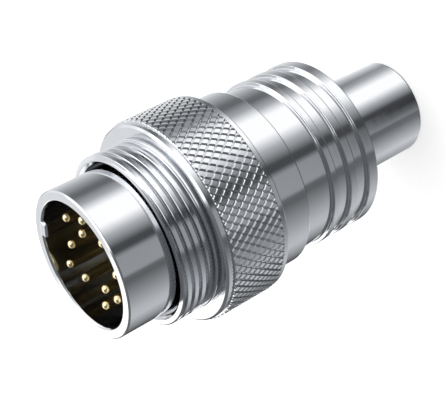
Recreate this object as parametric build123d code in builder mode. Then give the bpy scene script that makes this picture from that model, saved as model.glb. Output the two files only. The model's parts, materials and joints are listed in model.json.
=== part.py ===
from build123d import *
import os

# Circular plug for a multi-core cable, standing on the end of its cable tube with
# the contacts up. Millimetres. The axis is Z, z = 0 is the end of the cable tube,
# and the polarising key of the socket is on the +Y side.

# Sections along the axis, from the cable end to the mating rim
tube_length = 9.5
nut_length = 8.55
sleeve_length = 3.1
ring_length = 10.2
rim_reach = 4.75
end_play = 0.3

# Plug shell
shell_wall = 0.9
rim_chamfer = 0.15
socket_depth = 6.4
key_width = 1.4
key_height = 0.65
key_chamfer = 0.1
key_engagement = 1.5
key_angle = 90
insert_step = 0.225
flange_step = 1.125
flange_thickness = 1.3
spigot_wall = 1.0
spigot_grip = 1.3

# Contacts: two rings of places, counted from the key, some of them left empty
contact_r = 0.49
tip_depth = 0.63
tip_bevel = 0.25
tip_bevel_length = 0.36
outer_ring_margin = 1.805
outer_places = 9
outer_filled = (1, 3, 4, 5, 6, 7, 8)
ring_spacing = 1.47
inner_places = 5
inner_filled = (0, 1, 2, 4)
cup_r = 0.65
cup_length = 3.0
cup_bore_r = 0.42
cup_bore_depth = 2.4
cup_scoop = 1.8
cup_lip = 0.1

# Insert inside the shell and the lock ring behind it
insert_body = 4.1
insert_flange = 2.9
lock_ring_thickness = 0.8
lock_ring_width = 0.9

# Coupling ring: M16 x 0.75 outside thread, undercut, knurled head
thread_r = 8.0
thread_depth = 0.46
thread_lead_in = 0.12
thread_length = 2.95
undercut_length = 0.55
collar_wall = 0.765
mouth_gap = 0.36
mouth_chamfer = 0.25
mouth_depth = 2.8
running_clearance = 0.05
head_chamfer = 0.18
head_land_length = 0.34
head_wall = 1.44
knurl_rows = 10
knurl_lines = 75
knurl_depth = 0.17
head_land_depth = 0.21
rear_land_depth = 0.08
rear_land_length = 0.41
ring_bevel = 0.1
flange_clearance = 0.1
flange_pocket = 3.65

# Body sleeve and its seals
sleeve_wall = 1.28
sleeve_bevel = 0.08
wire_space_r = 4.6
sleeve_web = 1.35
gland_bore_r = 5.2
gland_tube_step = 0.8
gland_tube_length = 5.15
seal_thickness = 0.7

# Cable clamp inside the back nut
cable_r = 3.6
clamp_clearance = 0.25
shield_ring_thickness = 0.6
cable_seal_length = 2.8
cage_cone_length = 1.2
cage_mouth = 0.25
cage_slots = 6
cage_slot_width = 0.6

# Back nut
nut_wall = 0.78
nut_tightening_gap = 0.9
nut_floor = 0.7
rib_height = 0.35
rib_lengths = (1.13, 0.91, 0.73)
rib_gap = 1.33
tube_r = 4.65
tube_end_bevel = 0.15
tube_mouth_chamfer = 0.3

# Heights of the joints between the sections
nut_rear_z = tube_length
sleeve_rear_z = nut_rear_z + nut_length
sleeve_front_z = sleeve_rear_z + sleeve_length
ring_rear_z = sleeve_front_z + end_play
ring_front_z = ring_rear_z + ring_length
rim_z = ring_front_z + rim_reach

# Heights inside, worked out from their seats
flange_top_z = ring_rear_z + flange_pocket - end_play
flange_bottom_z = flange_top_z - flange_thickness
spigot_end_z = sleeve_front_z - spigot_grip
sleeve_seat_z = spigot_end_z - seal_thickness
insert_face_z = rim_z - socket_depth
insert_seat_z = insert_face_z - insert_body
insert_rear_z = insert_seat_z - insert_flange
gland_seat_z = sleeve_seat_z - sleeve_web
gland_tube_end_z = sleeve_rear_z - gland_tube_length
seal_top_z = gland_seat_z - shield_ring_thickness
cage_top_z = seal_top_z - cable_seal_length
nut_ledge_z = gland_tube_end_z - nut_tightening_gap
cage_bottom_z = nut_rear_z + nut_floor
cone_top_z = cage_bottom_z + cage_cone_length

# Radii that follow from others
mouth_r = thread_r - collar_wall
shell_r = mouth_r - mouth_gap
socket_r = shell_r - shell_wall
outer_ring_r = socket_r - outer_ring_margin
inner_ring_r = outer_ring_r - ring_spacing
insert_seat_r = socket_r + insert_step
flange_r = shell_r + flange_step
spigot_r = insert_seat_r + spigot_wall
sleeve_r = spigot_r + sleeve_wall
gland_tube_r = spigot_r - gland_tube_step
nut_seal_r = gland_tube_r + seal_thickness
nut_base_r = nut_seal_r + nut_wall
rib_r = nut_base_r + rib_height
ring_pocket_r = flange_r + flange_clearance
knurl_r = ring_pocket_r + head_wall
lock_ring_bore_r = insert_seat_r - lock_ring_width
clamp_r = cable_r + clamp_clearance
cage_end_r = clamp_r + cage_mouth
head_land_r = knurl_r - head_land_depth
rear_land_r = knurl_r - rear_land_depth
knurl_root_r = knurl_r - knurl_depth


def section(*corners):
    """Closed (radius, height) outline of a turned piece."""
    with BuildSketch(Plane.XZ) as outline:
        with BuildLine():
            Polyline(*corners, close=True)
        make_face()
    return outline.sketch


def ring_section(inner_r, outer_r, bottom_z, top_z):
    """Outline of a plain ring."""
    return section((inner_r, bottom_z), (outer_r, bottom_z), (outer_r, top_z), (inner_r, top_z))


def contact_places():
    """Name, distance from the axis and angle of every contact that is fitted."""
    rows = (
        ("outer", outer_ring_r, outer_places, outer_filled),
        ("inner", inner_ring_r, inner_places, inner_filled),
    )
    places = []
    for row, ring_r, count, filled in rows:
        for number, place in enumerate(filled, 1):
            angle = key_angle + place * 360 / count
            places.append((f"contact_{row}_{number}", ring_r, angle))
    return places


def at_contact(ring_r, angle):
    """Point of a contact in an insulator's sketch."""
    return Vector(ring_r, 0).rotate(Axis.Z, angle)


def knurl_corner(step, row, bottom_z, top_z):
    """Crest of a pyramid where step and row are both odd or both even, else where grooves
    cross. The rows before the first and after the last line lie at the grooves' depth."""
    row_z = bottom_z + min(max(row, 0), knurl_rows) * (top_z - bottom_z) / knurl_rows
    if 0 <= row <= knurl_rows:
        corner_r = knurl_root_r if (step + row) % 2 else knurl_r
    else:
        corner_r = knurl_root_r
        row_z += knurl_depth if row > 0 else -knurl_depth
    return Vector(corner_r, 0, row_z).rotate(Axis.Z, step * 180 / knurl_lines)


def knurled_core(bottom_z, top_z):
    """Solid bar with pyramids round it between right-hand and left-hand grooves."""
    faces = []
    for row in range(-1, knurl_rows + 1):
        for step in range(2 * knurl_lines):
            corners = [
                knurl_corner(step, row, bottom_z, top_z),
                knurl_corner(step + 1, row, bottom_z, top_z),
                knurl_corner(step + 1, row + 1, bottom_z, top_z),
                knurl_corner(step, row + 1, bottom_z, top_z),
            ]
            if (step + row) % 2 == 0:
                corners = corners[1:] + corners[:1]
            faces.append(Face(Wire.make_polygon(corners[:3])))
            faces.append(Face(Wire.make_polygon([corners[0], corners[2], corners[3]])))
    for row in (-1, knurl_rows + 1):
        rim = [knurl_corner(step, row, bottom_z, top_z) for step in range(2 * knurl_lines)]
        faces.append(Face(Wire.make_polygon(rim)))
    return Solid(Shell(faces))


contacts = contact_places()
contact_points = [at_contact(ring_r, angle) for _, ring_r, angle in contacts]

os.makedirs("parts", exist_ok=True)

# Plug shell: socket tube, flange that holds the coupling ring, spigot for the sleeve
with BuildPart() as plug_shell:
    revolve(ring_section(socket_r, shell_r, flange_bottom_z, rim_z), axis=Axis.Z)
    chamfer(plug_shell.edges().group_by(Axis.Z)[-1], length=rim_chamfer)
    revolve(ring_section(insert_seat_r, flange_r, flange_bottom_z, flange_top_z), axis=Axis.Z)
    revolve(ring_section(insert_seat_r, spigot_r, spigot_end_z, flange_bottom_z), axis=Axis.Z)
    with BuildSketch(Plane.XY.offset(flange_bottom_z)):
        Circle(insert_seat_r)
    extrude(amount=insert_seat_z - flange_bottom_z, mode=Mode.SUBTRACT)
    key_plane = Plane.YZ.rotated((0, 0, key_angle - 90))
    with BuildSketch(key_plane) as key_side:
        with BuildLine():
            key_foot_z = insert_face_z - key_engagement
            key_top_r = socket_r - key_height
            Polyline(
                (socket_r + shell_wall / 2, key_foot_z),
                (key_top_r, key_foot_z),
                (key_top_r, rim_z - key_chamfer),
                (key_top_r + key_chamfer, rim_z),
                (socket_r, rim_z),
                (socket_r + shell_wall / 2, rim_z - shell_wall / 2),
                close=True,
            )
        make_face()
    extrude(amount=key_width / 2, both=True)
plug_shell.part.label = "plug_shell"
export_step(plug_shell.part, "parts/plug_shell.step")

# Contact insert: stepped insulator, seated on the shell's inner shoulder
with BuildPart() as contact_insert:
    with BuildSketch(Plane.XY.offset(insert_seat_z)):
        Circle(socket_r)
    extrude(amount=insert_body)
    with BuildSketch(Plane.XY.offset(insert_rear_z)):
        Circle(insert_seat_r)
    extrude(amount=insert_flange)
    with BuildSketch(Plane.XY.offset(insert_face_z - key_engagement)):
        with Locations(Location(at_contact(socket_r, key_angle), key_angle)):
            Rectangle(2 * key_height, key_width)
    extrude(amount=key_engagement, mode=Mode.SUBTRACT)
    with BuildSketch(Plane.XY.offset(insert_rear_z)):
        with Locations(*contact_points):
            Circle(contact_r)
    extrude(amount=insert_body + insert_flange, mode=Mode.SUBTRACT)
contact_insert.part.label = "contact_insert"
export_step(contact_insert.part, "parts/contact_insert.step")

# Lock ring: screwed in behind the insert
with BuildPart() as lock_ring:
    lock_ring_end_z = insert_rear_z - lock_ring_thickness
    revolve(ring_section(lock_ring_bore_r, insert_seat_r, lock_ring_end_z, insert_rear_z), axis=Axis.Z)
lock_ring.part.label = "lock_ring"
export_step(lock_ring.part, "parts/lock_ring.step")

# Contacts: round pin with a tapered tip and a scooped solder cup that opens outwards
for name, ring_r, angle in contacts:
    outward = Vector(1, 0, 0).rotate(Axis.Z, angle)
    foot = outward * ring_r
    side = Plane(origin=foot, x_dir=outward, z_dir=outward.rotate(Axis.Z, -90))
    tip_z = rim_z - tip_depth
    cup_end_z = insert_rear_z - cup_length
    cup_floor_z = cup_end_z + cup_bore_depth
    with BuildPart() as contact:
        with BuildSketch(side):
            with BuildLine():
                Polyline(
                    (0, tip_z),
                    (contact_r - tip_bevel, tip_z),
                    (contact_r, tip_z - tip_bevel_length),
                    (contact_r, insert_rear_z),
                    (cup_r, insert_rear_z),
                    (cup_r, cup_end_z),
                    (cup_bore_r, cup_end_z),
                    (cup_bore_r, cup_floor_z),
                    (0, cup_floor_z),
                    close=True,
                )
            make_face()
        revolve(axis=Axis(foot, (0, 0, 1)))
        with BuildSketch(side):
            with Locations((cup_lip + cup_r / 2, cup_end_z + cup_scoop / 2)):
                Rectangle(cup_r, cup_scoop)
        extrude(amount=cup_r, both=True, mode=Mode.SUBTRACT)
    contact.part.label = name
    export_step(contact.part, f"parts/{name}.step")

# Coupling ring: threaded collar and knurled head, turned in one piece
with BuildPart() as coupling_ring:
    thread_end_z = ring_front_z - thread_length
    face_z = thread_end_z - undercut_length
    knurl_top_z = face_z - head_chamfer - head_land_length - head_land_depth
    knurl_bottom_z = ring_rear_z + ring_bevel + rear_land_length + rear_land_depth
    revolve(
        section(
            (0, ring_rear_z),
            (rear_land_r - ring_bevel, ring_rear_z),
            (rear_land_r, ring_rear_z + ring_bevel),
            (rear_land_r, knurl_bottom_z - rear_land_depth),
            (head_land_r, knurl_bottom_z - rear_land_depth),
            (head_land_r, face_z - head_chamfer),
            (head_land_r - head_chamfer, face_z),
            (thread_r - thread_depth, face_z),
            (thread_r - thread_depth, thread_end_z - thread_depth / 2),
            (thread_r, thread_end_z),
            (thread_r, ring_front_z - thread_lead_in),
            (thread_r - thread_lead_in, ring_front_z),
            (0, ring_front_z),
        ),
        axis=Axis.Z,
    )
    add(knurled_core(knurl_bottom_z, knurl_top_z))
    revolve(
        section(
            (0, ring_rear_z),
            (ring_pocket_r, ring_rear_z),
            (ring_pocket_r, ring_rear_z + flange_pocket),
            (shell_r + running_clearance, ring_rear_z + flange_pocket),
            (shell_r + running_clearance, ring_front_z - mouth_depth),
            (mouth_r, ring_front_z - mouth_depth),
            (mouth_r, ring_front_z - mouth_chamfer),
            (mouth_r + mouth_chamfer, ring_front_z),
            (0, ring_front_z),
        ),
        axis=Axis.Z,
        mode=Mode.SUBTRACT,
    )
coupling_ring.part.label = "coupling_ring"
export_step(coupling_ring.part, "parts/coupling_ring.step")

# Body sleeve: screws on the spigot in front, carries the back nut on its rear tube
with BuildPart() as body_sleeve:
    revolve(
        section(
            (wire_space_r, gland_seat_z),
            (gland_bore_r, gland_seat_z),
            (gland_bore_r, gland_tube_end_z),
            (gland_tube_r, gland_tube_end_z),
            (gland_tube_r, sleeve_rear_z),
            (sleeve_r - sleeve_bevel, sleeve_rear_z),
            (sleeve_r, sleeve_rear_z + sleeve_bevel),
            (sleeve_r, sleeve_front_z - sleeve_bevel),
            (sleeve_r - sleeve_bevel, sleeve_front_z),
            (spigot_r, sleeve_front_z),
            (spigot_r, sleeve_seat_z),
            (wire_space_r, sleeve_seat_z),
        ),
        axis=Axis.Z,
    )
body_sleeve.part.label = "body_sleeve"
export_step(body_sleeve.part, "parts/body_sleeve.step")

# Seal between the spigot's end and the sleeve's inner shoulder
with BuildPart() as sleeve_seal:
    revolve(ring_section(insert_seat_r, spigot_r, sleeve_seat_z, spigot_end_z), axis=Axis.Z)
sleeve_seal.part.label = "sleeve_seal"
export_step(sleeve_seal.part, "parts/sleeve_seal.step")

# Seal between the sleeve's rear face and the back nut
with BuildPart() as nut_seal:
    nut_seal_bottom_z = sleeve_rear_z - seal_thickness
    revolve(ring_section(gland_tube_r, nut_seal_r, nut_seal_bottom_z, sleeve_rear_z), axis=Axis.Z)
nut_seal.part.label = "nut_seal"
export_step(nut_seal.part, "parts/nut_seal.step")

# Shield ring: takes the cable's braid, against the sleeve's shoulder
with BuildPart() as shield_ring:
    revolve(ring_section(clamp_r, gland_bore_r, seal_top_z, gland_seat_z), axis=Axis.Z)
shield_ring.part.label = "shield_ring"
export_step(shield_ring.part, "parts/shield_ring.step")

# Cable seal: rubber bush that the clamp presses on to the cable
with BuildPart() as cable_seal:
    revolve(ring_section(clamp_r, gland_bore_r, cage_top_z, seal_top_z), axis=Axis.Z)
cable_seal.part.label = "cable_seal"
export_step(cable_seal.part, "parts/cable_seal.step")

# Clamp cage: slotted fingers with a conical end that the back nut closes
with BuildPart() as clamp_cage:
    revolve(
        section(
            (clamp_r, cage_bottom_z),
            (cage_end_r, cage_bottom_z),
            (gland_bore_r, cone_top_z),
            (gland_bore_r, cage_top_z),
            (clamp_r, cage_top_z),
        ),
        axis=Axis.Z,
    )
    with BuildSketch(Plane.XY.offset(cage_bottom_z)):
        with PolarLocations((clamp_r + gland_bore_r) / 2, cage_slots):
            Rectangle(gland_bore_r, cage_slot_width)
    extrude(amount=gland_tube_end_z - cage_bottom_z, mode=Mode.SUBTRACT)
clamp_cage.part.label = "clamp_cage"
export_step(clamp_cage.part, "parts/clamp_cage.step")

# Back nut: ribbed grip with the smooth cable tube, threaded on to the sleeve
with BuildPart() as back_nut:
    with BuildSketch(Plane.XY.offset(nut_rear_z)):
        Circle(nut_base_r)
    extrude(amount=nut_length)
    rib_bottom_z = nut_rear_z
    for rib_length in rib_lengths:
        with BuildSketch(Plane.XY.offset(rib_bottom_z)):
            Circle(rib_r)
        extrude(amount=rib_length)
        rib_bottom_z += rib_length + rib_gap
    with BuildSketch():
        Circle(tube_r)
    extrude(amount=nut_rear_z)
    chamfer(back_nut.edges().group_by(Axis.Z)[0], length=tube_end_bevel)
    revolve(
        section(
            (0, 0),
            (cable_r + tube_mouth_chamfer, 0),
            (cable_r, tube_mouth_chamfer),
            (cable_r, cage_bottom_z),
            (cage_end_r, cage_bottom_z),
            (gland_bore_r, cone_top_z),
            (gland_bore_r, nut_ledge_z),
            (gland_tube_r, nut_ledge_z),
            (gland_tube_r, sleeve_rear_z - seal_thickness),
            (nut_seal_r, sleeve_rear_z - seal_thickness),
            (nut_seal_r, sleeve_rear_z),
            (0, sleeve_rear_z),
        ),
        axis=Axis.Z,
        mode=Mode.SUBTRACT,
    )
back_nut.part.label = "back_nut"
export_step(back_nut.part, "parts/back_nut.step")
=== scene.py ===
import json
import math

import bmesh
import bpy
from mathutils import Matrix, Vector


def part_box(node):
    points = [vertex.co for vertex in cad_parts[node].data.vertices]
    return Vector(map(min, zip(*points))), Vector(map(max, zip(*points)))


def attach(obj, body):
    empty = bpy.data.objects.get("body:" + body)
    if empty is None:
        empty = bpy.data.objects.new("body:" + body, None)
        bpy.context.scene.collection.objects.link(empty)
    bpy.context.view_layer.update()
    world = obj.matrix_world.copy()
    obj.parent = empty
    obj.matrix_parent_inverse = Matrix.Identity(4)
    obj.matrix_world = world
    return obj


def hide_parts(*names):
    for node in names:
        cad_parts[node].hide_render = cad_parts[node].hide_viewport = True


bl_info = {
    "name": "Circular plug",
    "version": (1, 0, 0),
    "blender": (4, 5, 0),
    "location": "3D View > Sidebar > Plug",
    "description": "Turned, threaded and knurled pieces of a circular cable plug, with their finishes",
    "category": "Object",
}

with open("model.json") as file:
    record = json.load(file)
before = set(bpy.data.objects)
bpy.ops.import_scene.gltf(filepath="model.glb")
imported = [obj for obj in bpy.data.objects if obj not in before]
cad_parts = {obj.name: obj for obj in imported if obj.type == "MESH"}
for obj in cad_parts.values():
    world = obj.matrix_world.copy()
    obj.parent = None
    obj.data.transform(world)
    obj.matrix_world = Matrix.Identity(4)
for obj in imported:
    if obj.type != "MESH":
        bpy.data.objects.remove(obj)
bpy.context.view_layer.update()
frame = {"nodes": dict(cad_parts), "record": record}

MM = 0.001
SHARP_CORNER = math.radians(155)
# Rows of diamonds from the knurl's front down to a crossing of its grooves, and the height of a
# groove of the thread, both on the +X side, which line the two up with the photo
KNURL_START = 5.41
GROOVE_HEIGHT = 31.595
MOUNTS = {mount["name"]: mount["dims"] for mount in frame["record"]["mounts"]}
SLOTS = {slot["slot"]: slot["base_color"] for slot in frame["record"]["materials"]}
CONTACTS = sorted(name for name in frame["nodes"] if name.startswith("contact_") and name != "contact_insert")

# What the studio's walls show to bright metal, from the floor upwards. A wall comes in between
# two heights, given as the sine of the angle above eye level, and goes by the angle in degrees
# from the camera: brightness, where 1 is a lit screen and 0 a black flag
WALLS = (
    (-0.85, -0.75, (
        (-180, 0.8), (-80, 0.8), (-50, 0.1), (60, 0.1), (120, 0.2), (180, 0.3),
    )),
    (-0.72, -0.67, (
        (-180, 0.35), (-140, 0.36), (-112, 0.56), (-56, 0.14), (-46, 0.13), (-42, 0.2), (-30, 0.1),
        (-16, 0.02), (0, 0.06), (18, 0.4), (38, 1.0), (64, 1.0), (88, 0.4), (104, 0.28), (136, 0.75),
        (152, 1.0), (180, 1.0),
    )),
    (-0.63, -0.56, (
        (-180, 0.2), (-176, 0.05), (-154, 0.09), (-114, 0.48), (-100, 0.44), (-52, 0.11), (-45, 0.12),
        (-41, 0.29), (-14, 0.28), (-7, 0.06), (1, 0.06), (20, 0.42), (36, 1.0), (64, 1.0), (80, 0.38),
        (98, 0.13), (106, 0.14), (150, 0.58), (180, 0.66),
    )),
    (-0.34, -0.2, (
        (-180, 0.3), (-150, 0.08), (0, 0.08), (19, 0.12), (37, 0.22), (56, 0.6), (74, 0.9), (112, 0.65),
        (147, 0.62), (165, 0.2), (180, 0.15),
    )),
    (0.0, 0.2, (
        (-180, 1.2), (-156, 1.2), (-148, 0.2), (-138, 0.13), (-24, 0.12), (-6, 0.17), (12, 0.32), (28, 0.49),
        (44, 0.72), (60, 0.92), (80, 1.1), (110, 1.1), (128, 0.8), (168, 0.8), (173, 0.67), (180, 0.67),
    )),
    (0.42, 0.52, (
        (-180, 1.2), (-156, 1.2), (-148, 0.2), (-138, 0.13), (-24, 0.12), (0, 0.135), (10, 0.17), (20, 0.27),
        (40, 0.455), (50, 0.6), (60, 0.85), (80, 1.1), (100, 1.1), (112, 0.65), (176, 0.65), (178, 1.2),
        (180, 1.2),
    )),
    (0.7, 0.85, (
        (-180, 0.5), (-165, 0.15), (-12, 0.14), (-4, 0.4), (4, 1.2), (120, 1.2), (150, 0.8), (180, 0.8),
    )),
)
SCREEN_STRENGTH = 1.35
WHITE = (1.0, 1.0, 1.0, 1.0)
BELOW_WALLS = 0.06


class Value:
    """Output of a shader node that takes Python arithmetic."""

    def __init__(self, nodes, socket):
        self.nodes = nodes
        self.socket = socket

    def math(self, operation, other=0.0):
        return self.nodes.add("ShaderNodeMath", {"operation": operation}, {0: self, 1: other})

    def __add__(self, other):
        return self.math("ADD", other)

    def __sub__(self, other):
        return self.math("SUBTRACT", other)

    def __mul__(self, other):
        return self.math("MULTIPLY", other)

    def __rsub__(self, other):
        return self * -1.0 + other

    __radd__ = __add__
    __rmul__ = __mul__

    def also(self, output):
        """Another output of the same node."""
        return Value(self.nodes, self.socket.node.outputs[output])


class Nodes:
    """Node tree of a material or of the world."""

    def __init__(self, owner):
        owner.use_nodes = True
        self.tree = owner.node_tree
        self.tree.nodes.clear()

    def add(self, kind, settings=None, values=None, output=0):
        node = self.tree.nodes.new(kind)
        for name, setting in (settings or {}).items():
            if name == "stops":
                self.set_stops(node.color_ramp, setting)
            else:
                setattr(node, name, setting)
        for name, value in (values or {}).items():
            if isinstance(value, Value):
                self.tree.links.new(value.socket, node.inputs[name])
            else:
                node.inputs[name].default_value = value
        return Value(self, node.outputs[output]) if node.outputs else None

    def set_stops(self, ramp, stops):
        while len(ramp.elements) < len(stops):
            ramp.elements.new(1.0)
        for element, (position, colour) in zip(ramp.elements, stops):
            element.position = position
            element.color = colour

    def mix(self, share, first, second):
        """Colour from first to second by share."""
        return self.add("ShaderNodeMix", {"data_type": "RGBA"}, {0: share, 6: first, 7: second}, output=2)

    def noise(self, place, scale, detail=2.0):
        return self.add("ShaderNodeTexNoise", None, {"Vector": place, "Scale": scale, "Detail": detail})

    def rays(self):
        """Whether a ray comes straight from the camera, and whether it is a mirrored one."""
        path = self.add("ShaderNodeLightPath", output="Is Camera Ray")
        return path, path.also("Is Glossy Ray").math("MAXIMUM", path.also("Is Transmission Ray"))

    def place_mm(self):
        """Object coordinates in millimetres."""
        place = self.add("ShaderNodeTexCoord", output="Object")
        return self.add("ShaderNodeVectorMath", {"operation": "SCALE"}, {0: place, "Scale": 1.0 / MM})


def rgba(colour, factor=1.0):
    return (*(channel * factor for channel in colour), 1.0)


def cool(grey):
    """Grey of a studio wall, a little bluer the darker it is."""
    tint = 0.05 * (1.0 - grey)
    return (grey * (1.0 - tint), grey, grey * (1.0 + tint), 1.0)


def finish_material(name, make):
    """Material of that name, whose surface is what make returns for its nodes."""
    material = bpy.data.materials.new(name)
    nodes = Nodes(material)
    nodes.add("ShaderNodeOutputMaterial", None, {"Surface": make(nodes)})
    material.diffuse_color = (0.5, 0.5, 0.5, 1.0)
    return material


def bright_nickel(name, colour, roughness, marks):
    """Nickel plate over turned brass: fine turning marks round the axis and a soft haze."""

    def make(nodes):
        place = nodes.place_mm()
        x = nodes.add("ShaderNodeSeparateXYZ", None, {0: place})
        y, z = x.also("Y"), x.also("Z")
        radius = (x * x + y * y).math("SQRT")
        along = nodes.add("ShaderNodeCombineXYZ", None, {"X": radius, "Y": z})
        turning = nodes.noise(along, 11.0, 3.0)
        bands = nodes.noise(along, 1.6, 1.0)
        haze = nodes.noise(place, 0.45, 3.0)
        normal = nodes.add("ShaderNodeBump", None, {
            "Strength": marks, "Distance": 0.0009 * MM, "Height": turning * 0.7 + bands * 2.0,
        })
        return nodes.add("ShaderNodeBsdfPrincipled", None, {
            "Base Color": nodes.mix(haze, rgba(colour, 0.95), rgba(colour, 1.03)),
            "Metallic": 1.0,
            "Roughness": haze * 0.05 + turning * 0.05 + (roughness - 0.05),
            "Normal": normal,
        })

    return finish_material(name, make)


def polished_gold(name, colour):
    """Gold plate: warm, with faint pores and a slight unevenness in its tone."""

    def make(nodes):
        place = nodes.place_mm()
        pores = nodes.noise(place, 9.0, 3.0)
        tone = nodes.noise(place, 1.3, 2.0)
        return nodes.add("ShaderNodeBsdfPrincipled", None, {
            "Base Color": nodes.mix(tone, rgba(colour, 0.93), rgba(colour, 1.03)),
            "Metallic": 1.0,
            "Roughness": pores * 0.06 + 0.11,
            "Normal": nodes.add("ShaderNodeBump", None, {
                "Strength": 0.5, "Distance": 0.0008 * MM, "Height": pores,
            }),
        })

    return finish_material(name, make)


def moulded(name, colour, roughness, grain, depth):
    """Moulded plastic or rubber: a fine grain in its face and a slight unevenness in its tone."""

    def make(nodes):
        place = nodes.place_mm()
        skin = nodes.noise(place, grain, 3.0)
        flow = nodes.noise(place, 0.8, 2.0)
        return nodes.add("ShaderNodeBsdfPrincipled", None, {
            "Base Color": nodes.mix(flow, rgba(colour, 0.8), rgba(colour, 1.2)),
            "Roughness": skin * 0.12 + flow * 0.06 + (roughness - 0.09),
            "Normal": nodes.add("ShaderNodeBump", None, {
                "Strength": 1.0, "Distance": depth * MM, "Height": skin,
            }),
        })

    return finish_material(name, make)


def corners_on_paper(corners, broken=0.0):
    """Closed (radius, height) outline in millimetres as a face, with its sharp corners broken."""
    bm = bmesh.new()
    face = bm.faces.new([bm.verts.new((radius, 0.0, height)) for radius, height in corners])
    if broken:
        bmesh.ops.bevel(
            bm, geom=[loop.vert for loop in face.loops if loop.calc_angle() < SHARP_CORNER],
            offset=broken, offset_type="OFFSET", segments=2, profile=0.5, affect="VERTICES",
            clamp_overlap=True, material=-1,
        )
    return bm


def quarter(radius, height, size, steps=8):
    """Outline from a shoulder at a height up to a turned face at a radius: a hollow quarter round
    in the corner, or where the size is negative, a rounded edge. In a plan, the radius is a
    distance from the middle and the height one from a wall."""
    turns = [step / steps * math.pi / 2 for step in range(steps + 1)]
    return [
        (radius + size * (1 - math.sin(turn)), height + abs(size) * (1 - math.cos(turn))) for turn in turns
    ]


def turned(corners, broken=0.0, steps=192):
    """Piece turned round Z from its closed (radius, height) outline."""
    bm = corners_on_paper(corners, broken)
    bmesh.ops.delete(bm, geom=bm.faces[:], context="FACES_ONLY")
    bmesh.ops.spin(
        bm, geom=bm.verts[:] + bm.edges[:], axis=(0.0, 0.0, 1.0), angle=math.tau, steps=steps,
        use_merge=True,
    )
    bmesh.ops.remove_doubles(bm, verts=bm.verts[:], dist=1e-5)
    bmesh.ops.recalc_face_normals(bm, faces=bm.faces[:])
    return bm


def block(low, high, broken=0.0):
    """Block between two corners in millimetres, with its edges broken."""
    low, high = Vector(low), Vector(high)
    bm = bmesh.new()
    bmesh.ops.create_cube(bm, size=1.0)
    bmesh.ops.scale(bm, vec=high - low, verts=bm.verts[:])
    bmesh.ops.translate(bm, vec=(low + high) / 2, verts=bm.verts[:])
    if broken:
        bmesh.ops.bevel(
            bm, geom=bm.edges[:], offset=broken, offset_type="OFFSET", segments=2, profile=0.5,
            affect="EDGES", material=-1,
        )
    return bm


def mesh_of(bm, name):
    """Mesh of a shape, which is used up."""
    mesh = bpy.data.meshes.new(name)
    bm.to_mesh(mesh)
    bm.free()
    return mesh


def in_scene(name, data):
    """Object of a mesh, a lamp or a camera, linked to the scene."""
    thing = bpy.data.objects.new(name, data)
    bpy.context.scene.collection.objects.link(thing)
    return thing


def joined(bm, tool, operation):
    """What a Boolean of two closed shapes gives. Both shapes are used up."""
    blanks = [in_scene("blank", mesh_of(shape, "blank")) for shape in (bm, tool)]
    modifier = blanks[0].modifiers.new("cut", "BOOLEAN")
    modifier.operation = operation
    modifier.solver = "EXACT"
    modifier.object = blanks[1]
    result = bmesh.new()
    result.from_object(blanks[0], bpy.context.evaluated_depsgraph_get())
    for blank in blanks:
        bpy.data.meshes.remove(blank.data)
    bmesh.ops.remove_doubles(result, verts=result.verts[:], dist=1e-4)
    bmesh.ops.dissolve_degenerate(result, edges=result.edges[:], dist=1e-4)
    return result


def place_piece(bm, name, body, replaced, material, crease=5.0):
    """Mesh object of a finished shape, which rides on a body and stands for CAD nodes."""
    open_edges = sum(not edge.is_manifold for edge in bm.edges)
    if open_edges:
        raise RuntimeError(f"{name} isn't closed: {open_edges} open edges")
    bmesh.ops.recalc_face_normals(bm, faces=bm.faces[:])
    for face in bm.faces:
        face.smooth = True
    for edge in bm.edges:
        edge.smooth = edge.calc_face_angle(0.0) < math.radians(crease)
    bmesh.ops.scale(bm, vec=(MM, MM, MM), verts=bm.verts[:])
    piece = in_scene(name, mesh_of(bm, name))
    piece.data.materials.append(material)
    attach(piece, body)
    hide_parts(*replaced)
    return piece


def thread_groove(sizes, first_z, first_turn, turns, rise):
    """Cutter for the groove between the crests. It starts at a height and a part of a turn, and
    goes so many turns round while it climbs by its rise."""
    crest_r = sizes.thread_radius / MM
    depth = sizes.groove_depth / MM
    mouth = sizes.groove_width / MM / 2
    broken, clear = sizes.crest_break / MM, 0.1
    flank = mouth - broken
    bm = corners_on_paper((
        (crest_r - depth, -flank / 2), (crest_r - broken, -flank), (crest_r + clear, -mouth - clear),
        (crest_r + clear, mouth + clear), (crest_r - broken, flank), (crest_r - depth, flank / 2),
    ))
    steps = round(abs(turns) * 120)
    bmesh.ops.translate(bm, vec=(0.0, 0.0, first_z), verts=bm.verts[:])
    bmesh.ops.rotate(bm, matrix=Matrix.Rotation(first_turn * math.tau, 3, "Z"), verts=bm.verts[:])
    bmesh.ops.spin(
        bm, geom=bm.verts[:] + bm.edges[:] + bm.faces[:], axis=(0.0, 0.0, 1.0),
        dvec=(0.0, 0.0, rise / steps), angle=turns * math.tau, steps=steps,
    )
    bmesh.ops.recalc_face_normals(bm, faces=bm.faces[:])
    return bm


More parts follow.
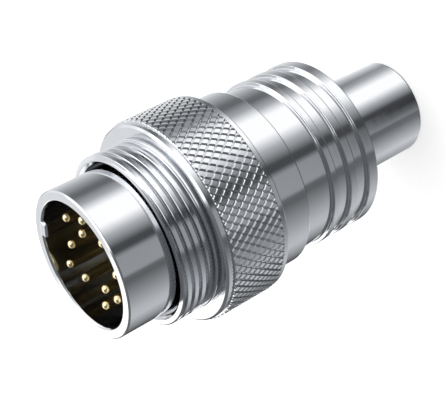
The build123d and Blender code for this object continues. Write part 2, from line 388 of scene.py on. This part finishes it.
def knurled_band(sizes, crest_r, front, rear):
    """Diamond knurl round the head. Past its front height the band slopes to the grooves' depth at
    the front edge, and past its rear height to the land's radius at the rear edge."""
    lines = sizes.knurl_lines
    across = crest_r * math.tau / lines
    along = 2 * (front[0] - rear[0]) / sizes.knurl_rows
    depth = sizes.knurl_depth / MM
    (front_z, front_edge_z), (rear_z, rear_edge_z, rear_r) = front, rear
    rows = math.ceil((front_edge_z - rear_edge_z) / along) + 3
    bm = bmesh.new()
    bmesh.ops.create_grid(bm, x_segments=2 * rows, y_segments=2 * rows, size=rows)
    bmesh.ops.inset_individual(
        bm, faces=bm.faces[:], thickness=sizes.knurl_groove_share / 2, depth=depth,
        use_even_offset=True,
    )
    bmesh.ops.rotate(bm, matrix=Matrix.Rotation(math.pi / 4, 3, "Z"), verts=bm.verts[:])
    half = math.sqrt(0.5)
    bmesh.ops.scale(bm, vec=(across * half, along * half, 1.0), verts=bm.verts[:])
    bmesh.ops.translate(bm, vec=(0.0, front_z - KNURL_START * along / 2, 0.0), verts=bm.verts[:])
    for part in range(5):
        bmesh.ops.bisect_plane(
            bm, geom=bm.verts[:] + bm.edges[:] + bm.faces[:], dist=1e-5,
            plane_co=(across * part / 4, 0.0, 0.0), plane_no=(1.0, 0.0, 0.0),
            clear_inner=part == 0, clear_outer=part == 4,
        )
    for height in (front_edge_z, front_z, rear_z, rear_edge_z):
        bmesh.ops.bisect_plane(
            bm, geom=bm.verts[:] + bm.edges[:] + bm.faces[:], dist=1e-5,
            plane_co=(0.0, height, 0.0), plane_no=(0.0, 1.0, 0.0),
            clear_inner=height == rear_edge_z, clear_outer=height == front_edge_z,
        )
    for vert in bm.verts:
        turn, height, rise = vert.co.x / across * math.tau / lines, vert.co.y, vert.co.z
        radius = crest_r - depth + rise
        if height > front_z + 1e-4:
            slope = (front_edge_z - height) / (front_edge_z - front_z)
            radius = min(radius, crest_r - depth + depth * slope)
        elif height < rear_z - 1e-4:
            radius = rear_r
        vert.co = (radius * math.cos(turn), radius * math.sin(turn), height)
    bmesh.ops.spin(
        bm, geom=bm.verts[:] + bm.edges[:] + bm.faces[:], axis=(0.0, 0.0, 1.0),
        angle=math.tau * (lines - 1) / lines, steps=lines - 1, use_duplicate=True,
    )
    bmesh.ops.remove_doubles(bm, verts=bm.verts[:], dist=1e-4)
    return bm


def rim_at(bm, height, radius):
    """Open edges of a shape at a height and a radius."""
    def here(vert):
        return abs(vert.co.z - height) < 1e-3 and abs(math.hypot(vert.co.x, vert.co.y) - radius) < 2e-2

    return [edge for edge in bm.edges if edge.is_boundary and all(here(vert) for vert in edge.verts)]


def draw_on(bm, start, *corners):
    """Draws the rim at a (radius, height) start on through more such corners."""
    radius, height = start
    edges = rim_at(bm, height, radius)
    for next_radius, next_height in corners:
        grown = bmesh.ops.extrude_edge_only(bm, edges=edges)["geom"]
        verts = [item for item in grown if isinstance(item, bmesh.types.BMVert)]
        edges = [item for item in grown if isinstance(item, bmesh.types.BMEdge)]
        share = next_radius / radius
        bmesh.ops.scale(bm, vec=(share, share, 1.0), verts=verts)
        bmesh.ops.translate(bm, vec=(0.0, 0.0, next_height - height), verts=verts)
        radius, height = next_radius, next_height


def length(name, description, default_mm):
    """Length property with its default given in millimetres."""
    return bpy.props.FloatProperty(
        name=name, description=description, default=default_mm * MM, min=0.0, unit="LENGTH", precision=5,
    )


def colour(name, description, default):
    return bpy.props.FloatVectorProperty(
        name=name, description=description, default=default, subtype="COLOR", size=3, min=0.0, max=1.0,
    )


class PlugSizes(bpy.types.PropertyGroup):
    """Sizes that the thread, the knurl and the turned edges are cut to"""

    thread_radius: length(
        "Thread radius", "Radius over the thread's crests", MOUNTS["coupling_thread"]["r_mm"],
    )
    thread_pitch: length("Thread pitch", "Distance from crest to crest", 0.75)
    groove_depth: length("Groove depth", "Depth of the thread's groove", 0.37)
    groove_width: length("Groove width", "Width of the thread's groove at the crests", 0.38)
    crest_break: length("Crest break", "Size of the breaks on the thread's crests", 0.03)
    knurl_lines: bpy.props.IntProperty(
        name="Knurl lines", description="Grooves round the head, each way", default=75, min=12,
    )
    knurl_rows: bpy.props.IntProperty(
        name="Knurl rows", description="Rows of diamonds along the head", default=10, min=2,
    )
    knurl_depth: length("Knurl depth", "Depth of the knurl's grooves", 0.12)
    knurl_groove_share: bpy.props.FloatProperty(
        name="Groove share", description="Share of the knurl's pitch that a groove takes", default=0.36,
        subtype="FACTOR", min=0.05, max=0.9,
    )
    edge_break: length("Edge break", "Size of the breaks on turned edges", 0.03)
    tube_radius: length("Tube radius", "Outside of the cable tube", MOUNTS["cable_tube"]["r_mm"])
    cable_radius: length("Cable radius", "Bore for the cable", MOUNTS["cable_entry"]["r_mm"])


class PlugFinishes(bpy.types.PropertyGroup):
    """Colours and gloss of the plug's pieces"""

    body_colour: colour("Body plate", "Nickel on the shell, the sleeve and the nut", SLOTS["plated_metal"])
    ring_colour: colour("Ring plate", "Nickel on the coupling ring", SLOTS["ring_metal"])
    gold_colour: colour("Gold", "Plate on the contacts", SLOTS["contact_gold"])
    insert_colour: colour("Insert", "Insulator round the contacts", SLOTS["black_insulator"])
    cage_colour: colour("Cage", "Plastic of the clamp cage", SLOTS["cage_plastic"])
    rubber_colour: colour("Rubber", "Seals", SLOTS["seal_rubber"])
    nickel_roughness: bpy.props.FloatProperty(
        name="Nickel roughness", description="How much the plate blurs what it mirrors", default=0.1,
        subtype="FACTOR", min=0.0, max=1.0,
    )


class PlugStudio(bpy.types.PropertyGroup):
    """Floor, lamps and camera"""

    floor_colour: colour("Floor", "Colour of the floor", (0.86, 0.86, 0.86))
    fill_strength: bpy.props.FloatProperty(
        name="Fill", description="Brightness of the studio's walls to matt surfaces", default=0.72, min=0.0,
    )
    lamp_power: bpy.props.FloatProperty(
        name="Lamp", description="Power of the soft lamp above", default=0.3, min=0.0, unit="POWER",
    )
    azimuth: bpy.props.FloatProperty(
        name="Azimuth", description="Turn of the camera round the plug", default=math.radians(48.797),
        subtype="ANGLE",
    )
    elevation: bpy.props.FloatProperty(
        name="Elevation", description="Height of the camera over the floor, as an angle",
        default=math.radians(29.518), subtype="ANGLE",
    )
    roll: bpy.props.FloatProperty(
        name="Roll", description="Turn of the camera round its view", default=math.radians(-117.75),
        subtype="ANGLE",
    )
    distance: length("Distance", "From the camera to the point that it aims at", 108.346)
    focal_length: bpy.props.FloatProperty(
        name="Lens", description="Focal length on a 36 mm frame", default=97.355, min=1.0, unit="CAMERA",
    )
    aim: bpy.props.FloatVectorProperty(
        name="Aim", description="Point that the camera looks at",
        default=(-0.434 * MM, -0.496 * MM, 21.318 * MM), subtype="XYZ", unit="LENGTH", size=3,
    )


class PLUG_OT_shell(bpy.types.Operator):
    """Turn the plug shell with its flange and its key"""

    bl_idname = "plug.shell"
    bl_label = "Plug shell"

    shell_r, bore_r, in_wall_r = 6.875, 5.9, 6.5
    # The socket's mouth: how much wider it is than the bore, and how far down from the rim
    mouth = ((0.13, 0.0), (0.09, 0.04), (0.0, 0.2))
    # The key: half its width, the radius of its crest, its hollow roots and its rounded corners
    key_half, key_crest, key_root, key_corner = 0.8, 5.25, 0.28, 0.26

    def execute(self, context):
        sizes, finishes = context.scene.plug_sizes, context.scene.plug_finishes
        spigot_end, rim = (corner.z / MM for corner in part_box("plug_shell"))
        insert_face, insert_seat = rim - 6.4, 25.9
        flange_rear, flange_front = 23.5, 24.8
        insert_r, flange_r, spigot_r, spigot_bore_r = 5.975, 8.0, 7.2, 6.2
        shell = turned((
            (spigot_bore_r, spigot_end), (spigot_r, spigot_end), (spigot_r, flange_rear),
            (flange_r, flange_rear), (flange_r, flange_front), (self.shell_r, flange_front),
            (self.shell_r, rim - 0.12), (self.shell_r - 0.12, rim),
            *((self.bore_r + wider, rim - down) for wider, down in self.mouth),
            (self.bore_r, insert_face + 0.1), (insert_r, insert_face), (insert_r, insert_seat),
            (spigot_bore_r, insert_seat),
        ), sizes.edge_break / MM, steps=256)
        slot_half, slot_foot_r = 0.7, 5.325
        key_foot = block(
            (-slot_half, slot_foot_r, insert_face - 1.5), (slot_half, self.in_wall_r, insert_face + 0.1),
        )
        shell = joined(joined(shell, key_foot, "UNION"), self.key(rim - 0.005, insert_face), "UNION")
        material = bright_nickel("body_nickel", finishes.body_colour, finishes.nickel_roughness, 1.0)
        place_piece(shell, "turned_shell", "connector_body", ["plug_shell"], material)
        return {"FINISHED"}

    def key(self, top, foot):
        """Key with hollow roots and rounded corners, which narrows as the mouth widens."""
        bm = bmesh.new()
        levels = []
        for wider, down in (*self.mouth, (0.0, top - foot)):
            half = self.key_half - wider
            root = quarter(half, 0.0, self.key_root + wider)
            corner = quarter(half, 0.0, wider - self.key_corner)
            side = [(x, self.bore_r + wider - inward) for x, inward in root]
            side += [(x, self.key_crest + wider + outward) for x, outward in reversed(corner)]
            side.insert(0, (self.key_half + self.key_root, self.in_wall_r))
            outline = [*side, *((-x, y) for x, y in reversed(side))]
            levels.append(bm.faces.new([bm.verts.new((x, y, top - down)) for x, y in outline]))
        for upper, lower in zip(levels, levels[1:]):
            bmesh.ops.bridge_loops(bm, edges=upper.edges[:] + lower.edges[:])
        bmesh.ops.delete(bm, geom=levels[1:-1], context="FACES_ONLY")
        bmesh.ops.recalc_face_normals(bm, faces=bm.faces[:])
        return bm


class PLUG_OT_contacts(bpy.types.Operator):
    """Turn the gold pins, with domed tips and scooped solder cups, one for each contact"""

    bl_idname = "plug.contacts"
    bl_label = "Contact pins"

    # The dome: radius, and how far down from the tip
    dome = (
        (0.0, 0.0), (0.05, 0.0), (0.16, 0.025), (0.27, 0.085), (0.35, 0.175), (0.4, 0.29), (0.428, 0.43),
        (0.435, 0.55), (0.44, 0.9),
    )
    pin_r, cup_r, cup_bore_r = 0.49, 0.65, 0.42

    def execute(self, context):
        gold = polished_gold("contact_gold_plate", context.scene.plug_finishes.gold_colour)
        cup_end, tip = (corner.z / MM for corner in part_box(CONTACTS[0]))
        shoulder = cup_end + 3.0
        pin = turned((
            *((radius, tip - down) for radius, down in self.dome),
            (self.pin_r, tip - 1.5), (self.pin_r, shoulder), (self.cup_r - 0.03, shoulder),
            (self.cup_r, shoulder - 0.03), (self.cup_r, cup_end + 0.04), (self.cup_r - 0.04, cup_end),
            (self.cup_bore_r + 0.03, cup_end), (self.cup_bore_r, cup_end + 0.04),
            (self.cup_bore_r, cup_end + 2.2), (0.0, cup_end + 2.4),
        ), steps=48)
        scoop_side, scoop_depth, clear = 0.1, 1.8, 1.0
        scoop = block((scoop_side, -clear, cup_end - clear), (clear, clear, cup_end + scoop_depth))
        corner = [edge for edge in scoop.edges if all(v.co.x < 0.2 and v.co.z > cup_end for v in edge.verts)]
        bmesh.ops.bevel(
            scoop, geom=corner, offset=0.3, offset_type="OFFSET", segments=4, profile=0.5,
            affect="EDGES", material=-1,
        )
        pin = joined(pin, scoop, "DIFFERENCE")
        for name in CONTACTS:
            low, high = (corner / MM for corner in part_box(name))
            seat = (low + high) / 2
            outward = math.atan2(seat.y, seat.x)
            standing = pin.copy()
            bmesh.ops.rotate(standing, matrix=Matrix.Rotation(outward, 3, "Z"), verts=standing.verts[:])
            bmesh.ops.translate(standing, vec=(seat.x, seat.y, 0.0), verts=standing.verts[:])
            place_piece(
                standing, name.replace("contact", "pin"), "connector_body", [name], gold,
                crease=14.0,
            )
        pin.free()
        return {"FINISHED"}


class PLUG_OT_ring(bpy.types.Operator):
    """Cut the coupling ring: threaded collar and diamond-knurled head in one piece"""

    bl_idname = "plug.ring"
    bl_label = "Coupling ring"

    def execute(self, context):
        sizes, finishes = context.scene.plug_sizes, context.scene.plug_finishes
        rear, front = (corner.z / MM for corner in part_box("coupling_ring"))
        crest_r = sizes.thread_radius / MM
        face, foot_r = front - 3.5, crest_r + 0.1
        bore_r, mouth_r, mouth_foot, lead_in = 6.925, 7.235, front - 2.8, 0.12
        collar = turned((
            (bore_r, face), *quarter(crest_r, face, foot_r - crest_r), (crest_r, front - lead_in),
            (crest_r - lead_in, front), (mouth_r + 0.25, front), (mouth_r, front - 0.25),
            (mouth_r, mouth_foot), (bore_r, mouth_foot),
        ))
        pitch, first_z = sizes.thread_pitch / MM, face + 0.3
        climb = front + 0.5 - first_z
        first_turn = (first_z - GROOVE_HEIGHT) / pitch
        helix = thread_groove(sizes, first_z, first_turn, climb / pitch, climb)
        run_out = thread_groove(sizes, first_z, first_turn + 0.01, -0.3, 0.0)
        bm = joined(joined(collar, helix, "DIFFERENCE"), run_out, "DIFFERENCE")
        foot = [f for f in bm.faces if all(abs(vert.co.z - face) < 1e-4 for vert in f.verts)]
        bmesh.ops.delete(bm, geom=foot, context="FACES")
        pocket_r, pocket_top = 8.1, rear + 3.65
        draw_on(bm, (bore_r, face), (bore_r, pocket_top), (pocket_r, pocket_top), (pocket_r, rear))

        knurl_r, front_land_r, rear_land_r, front_face_r, rear_face_r = 9.54, 9.33, 9.46, 9.13, 9.34
        groove_r = knurl_r - sizes.knurl_depth / MM
        front_edge, rear_edge = 27.45, 21.96
        band = knurled_band(sizes, knurl_r, (27.42, front_edge), (22.04, rear_edge, rear_land_r))
        draw_on(
            band, (groove_r, front_edge), (front_land_r, front_edge), (front_land_r, face - 0.2),
            (front_land_r - 0.008, face - 0.18), (front_face_r + 0.02, face - 0.008), (front_face_r, face),
        )
        draw_on(
            band, (rear_land_r, rear_edge), (rear_land_r, rear + 0.12), (rear_land_r - 0.008, rear + 0.1),
            (rear_face_r + 0.02, rear + 0.008), (rear_face_r, rear),
        )
        mesh = mesh_of(band, "band")
        bm.from_mesh(mesh)
        bpy.data.meshes.remove(mesh)
        faces = ((face, foot_r, front_face_r), (rear, pocket_r, rear_face_r))
        for height, inner_r, outer_r in faces:
            bmesh.ops.bridge_loops(bm, edges=rim_at(bm, height, inner_r) + rim_at(bm, height, outer_r))
        material = bright_nickel("ring_nickel", finishes.ring_colour, finishes.nickel_roughness, 0.7)
        place_piece(bm, "threaded_ring", "coupling_ring", ["coupling_ring"], material)
        return {"FINISHED"}


class PLUG_OT_sleeve(bpy.types.Operator):
    """Turn the plain sleeve behind the coupling ring"""

    bl_idname = "plug.sleeve"
    bl_label = "Body sleeve"

    def execute(self, context):
        sizes, finishes = context.scene.plug_sizes, context.scene.plug_finishes
        tube_end, front = (corner.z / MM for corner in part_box("body_sleeve"))
        rear = front - 3.1
        sleeve_r, seat_r, gland_r, gland_bore_r, wires_r = 8.48, 7.2, 6.4, 5.2, 4.6
        web_rear, web_front = 17.8, 19.15
        sleeve = turned((
            (wires_r, web_rear), (gland_bore_r, web_rear), (gland_bore_r, tube_end), (gland_r, tube_end),
            (gland_r, rear), *quarter(sleeve_r, rear, -0.14), (sleeve_r, front - 0.08), (8.4, front),
            (seat_r, front), (seat_r, web_front), (wires_r, web_front),
        ), sizes.edge_break / MM, steps=224)
        material = bright_nickel("sleeve_nickel", finishes.body_colour, finishes.nickel_roughness, 1.0)
        place_piece(sleeve, "turned_sleeve", "connector_body", ["body_sleeve"], material)
        return {"FINISHED"}


class PLUG_OT_nut(bpy.types.Operator):
    """Turn the back nut with its ribs and its smooth cable tube"""

    bl_idname = "plug.nut"
    bl_label = "Back nut"

    def execute(self, context):
        sizes, finishes = context.scene.plug_sizes, context.scene.plug_finishes
        tube_r, bore_r = sizes.tube_radius / MM, sizes.cable_radius / MM
        rib_r, _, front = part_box("back_nut")[1] / MM
        base_r, edge = rib_r - 0.35, 0.04
        ribs = []
        for low, high in ((9.5, 10.63), (11.96, 12.87), (14.2, 14.93)):
            ribs += [
                (base_r if ribs else tube_r, low), *quarter(rib_r, low, -0.12), (rib_r, high - edge),
                (rib_r - edge, high), *quarter(base_r, high, 0.1),
            ]
        seal_r, thread_r, cone_r, cone_foot_r = 7.1, 6.4, 5.2, 4.1
        seal_seat, ledge, cone_top, cone_foot = front - 0.7, 12.0, 11.4, 10.2
        nut = turned((
            (bore_r + 0.3, 0.0), (tube_r - 0.2, 0.0), (tube_r - 0.06, 0.06), (tube_r, 0.2), *ribs,
            (base_r, front - edge), (base_r - edge, front), (seal_r, front), (seal_r, seal_seat),
            (thread_r, seal_seat), (thread_r, ledge), (cone_r, ledge), (cone_r, cone_top),
            (cone_foot_r, cone_foot), (bore_r, cone_foot), (bore_r, 0.3),
        ), sizes.edge_break / MM, steps=224)
        material = bright_nickel("nut_nickel", finishes.body_colour, finishes.nickel_roughness, 1.0)
        place_piece(nut, "ribbed_nut", "connector_body", ["back_nut"], material)
        return {"FINISHED"}


class PLUG_OT_inner_pieces(bpy.types.Operator):
    """Finish the insulator, the lock ring, the seals and the cable clamp, whose CAD shapes stay"""

    bl_idname = "plug.inner_pieces"
    bl_label = "Inner pieces"

    def execute(self, context):
        finishes = context.scene.plug_finishes
        insulator = moulded("insert_plastic", finishes.insert_colour, 0.3, 14.0, 0.0015)
        cage = moulded("cage_nylon", finishes.cage_colour, 0.42, 7.0, 0.004)
        rubber = moulded("seal_rubber_black", finishes.rubber_colour, 0.62, 9.0, 0.006)
        plain = bright_nickel("inner_nickel", finishes.body_colour, finishes.nickel_roughness + 0.06, 1.0)
        for name, material in (
            ("contact_insert", insulator), ("clamp_cage", cage), ("lock_ring", plain),
            ("shield_ring", plain), ("sleeve_seal", rubber), ("nut_seal", rubber), ("cable_seal", rubber),
        ):
            for slot in frame["nodes"][name].material_slots:
                slot.material = material
        return {"FINISHED"}


class PLUG_OT_stage(bpy.types.Operator):
    """Set the floor, the studio's walls, the lamp and the camera"""

    bl_idname = "plug.stage"
    bl_label = "Stage"

    def execute(self, context):
        studio = context.scene.plug_studio
        self.lay_floor(studio)
        self.light_walls(context.scene, studio)
        self.hang_lamp(studio)
        self.set_camera(context.scene, studio)
        context.scene.view_settings.view_transform = "Standard"
        return {"FINISHED"}

    def lay_floor(self, studio):
        """Pale floor. Mirrored rays pass it, so that metal shows the studio's walls."""
        bm = bmesh.new()
        bmesh.ops.create_circle(bm, cap_ends=True, radius=3.0, segments=96)
        floor = in_scene("floor", mesh_of(bm, "floor"))

        def make(nodes):
            speckle = nodes.noise(nodes.add("ShaderNodeTexCoord", output="Object"), 300.0)
            lit = nodes.add("ShaderNodeBsdfDiffuse", None, {
                "Color": nodes.mix(speckle, rgba(studio.floor_colour, 0.99), rgba(studio.floor_colour)),
            })
            seen, mirrored = nodes.rays()
            glow = nodes.add("ShaderNodeEmission", None, {"Color": WHITE, "Strength": seen * 0.5})
            pale = nodes.add("ShaderNodeAddShader", None, {0: lit, 1: glow})
            return nodes.add("ShaderNodeMixShader", None, {
                0: mirrored, 1: pale, 2: nodes.add("ShaderNodeBsdfTransparent"),
            })

        floor.data.materials.append(finish_material("pale_floor", make))

    def light_walls(self, scene, studio):
        """White to the camera, an even fill to matt surfaces, lit screens and flags to metal."""
        world = bpy.data.worlds.new("studio")
        scene.world = world
        nodes = Nodes(world)
        view = nodes.add("ShaderNodeTexCoord", output="Generated")
        x = nodes.add("ShaderNodeSeparateXYZ", None, {0: view})
        y, up = x.also("Y"), x.also("Z")
        facing = studio.azimuth - math.pi / 2
        ahead = x * math.cos(facing) + y * math.sin(facing)
        aside = y * math.cos(facing) - x * math.sin(facing)
        turn = aside.math("ARCTAN2", ahead) * (1 / math.tau) + 0.5
        walls = cool(BELOW_WALLS)
        for lower, upper, wall in WALLS:
            stops = [(angle / 360 + 0.5, cool(grey)) for angle, grey in wall]
            rise = nodes.add("ShaderNodeMapRange", {"interpolation_type": "SMOOTHSTEP"}, {
                "Value": up, "From Min": lower, "From Max": upper,
            })
            walls = nodes.mix(rise, walls, nodes.add("ShaderNodeValToRGB", {"stops": stops}, {0: turn}))
        seen, mirrored = nodes.rays()
        strength = seen + mirrored * SCREEN_STRENGTH + (1.0 - seen - mirrored) * studio.fill_strength
        nodes.add("ShaderNodeOutputWorld", None, {
            "Surface": nodes.add("ShaderNodeBackground", None, {
                "Color": nodes.mix(mirrored, WHITE, walls), "Strength": strength,
            }),
        })

    def hang_lamp(self, studio):
        """Soft square lamp above the plug, on the camera's left."""
        light = bpy.data.lights.new("soft_lamp", "AREA")
        light.shape = "SQUARE"
        light.size = 0.3
        light.energy = studio.lamp_power
        lamp = in_scene("soft_lamp", light)
        hung = Vector((0.1, 0.16, 0.3))
        lamp.matrix_world = Matrix.Translation(hung) @ hung.to_track_quat("Z", "Y").to_matrix().to_4x4()

    def set_camera(self, scene, studio):
        data = bpy.data.cameras.new("camera")
        data.sensor_width = 36.0
        data.lens = studio.focal_length
        data.clip_start = 0.005
        data.clip_end = 20.0
        turn = (
            Matrix.Rotation(studio.azimuth, 4, "Z")
            @ Matrix.Rotation(math.pi / 2 - studio.elevation, 4, "X")
            @ Matrix.Rotation(studio.roll, 4, "Z")
        )
        place = Vector(studio.aim) + turn.col[2].xyz * studio.distance
        scene.camera = in_scene("camera", data)
        scene.camera.matrix_world = Matrix.Translation(place) @ turn


OPERATORS = (
    PLUG_OT_stage, PLUG_OT_shell, PLUG_OT_contacts, PLUG_OT_ring, PLUG_OT_sleeve, PLUG_OT_nut,
    PLUG_OT_inner_pieces,
)


class PLUG_PT_pieces(bpy.types.Panel):
    """Lists the plug's settings and pieces"""

    bl_idname = "PLUG_PT_pieces"
    bl_label = "Circular plug"
    bl_space_type = "VIEW_3D"
    bl_region_type = "UI"
    bl_category = "Plug"

    def draw(self, context):
        for settings in (context.scene.plug_sizes, context.scene.plug_finishes, context.scene.plug_studio):
            column = self.layout.column()
            for name in settings.bl_rna.properties.keys():
                if name not in ("rna_type", "name"):
                    column.prop(settings, name)
        for operator in OPERATORS:
            self.layout.operator(operator.bl_idname)


CLASSES = (PlugSizes, PlugFinishes, PlugStudio, *OPERATORS, PLUG_PT_pieces)


def register():
    for cls in CLASSES:
        bpy.utils.register_class(cls)
    bpy.types.Scene.plug_sizes = bpy.props.PointerProperty(type=PlugSizes)
    bpy.types.Scene.plug_finishes = bpy.props.PointerProperty(type=PlugFinishes)
    bpy.types.Scene.plug_studio = bpy.props.PointerProperty(type=PlugStudio)


def unregister():
    del bpy.types.Scene.plug_sizes, bpy.types.Scene.plug_finishes, bpy.types.Scene.plug_studio
    for cls in reversed(CLASSES):
        bpy.utils.unregister_class(cls)


def main():
    register()
    bpy.ops.plug.stage()
    bpy.ops.plug.shell()
    bpy.ops.plug.contacts()
    bpy.ops.plug.ring()
    bpy.ops.plug.sleeve()
    bpy.ops.plug.nut()
    bpy.ops.plug.inner_pieces()


if __name__ == "__main__":
    main()
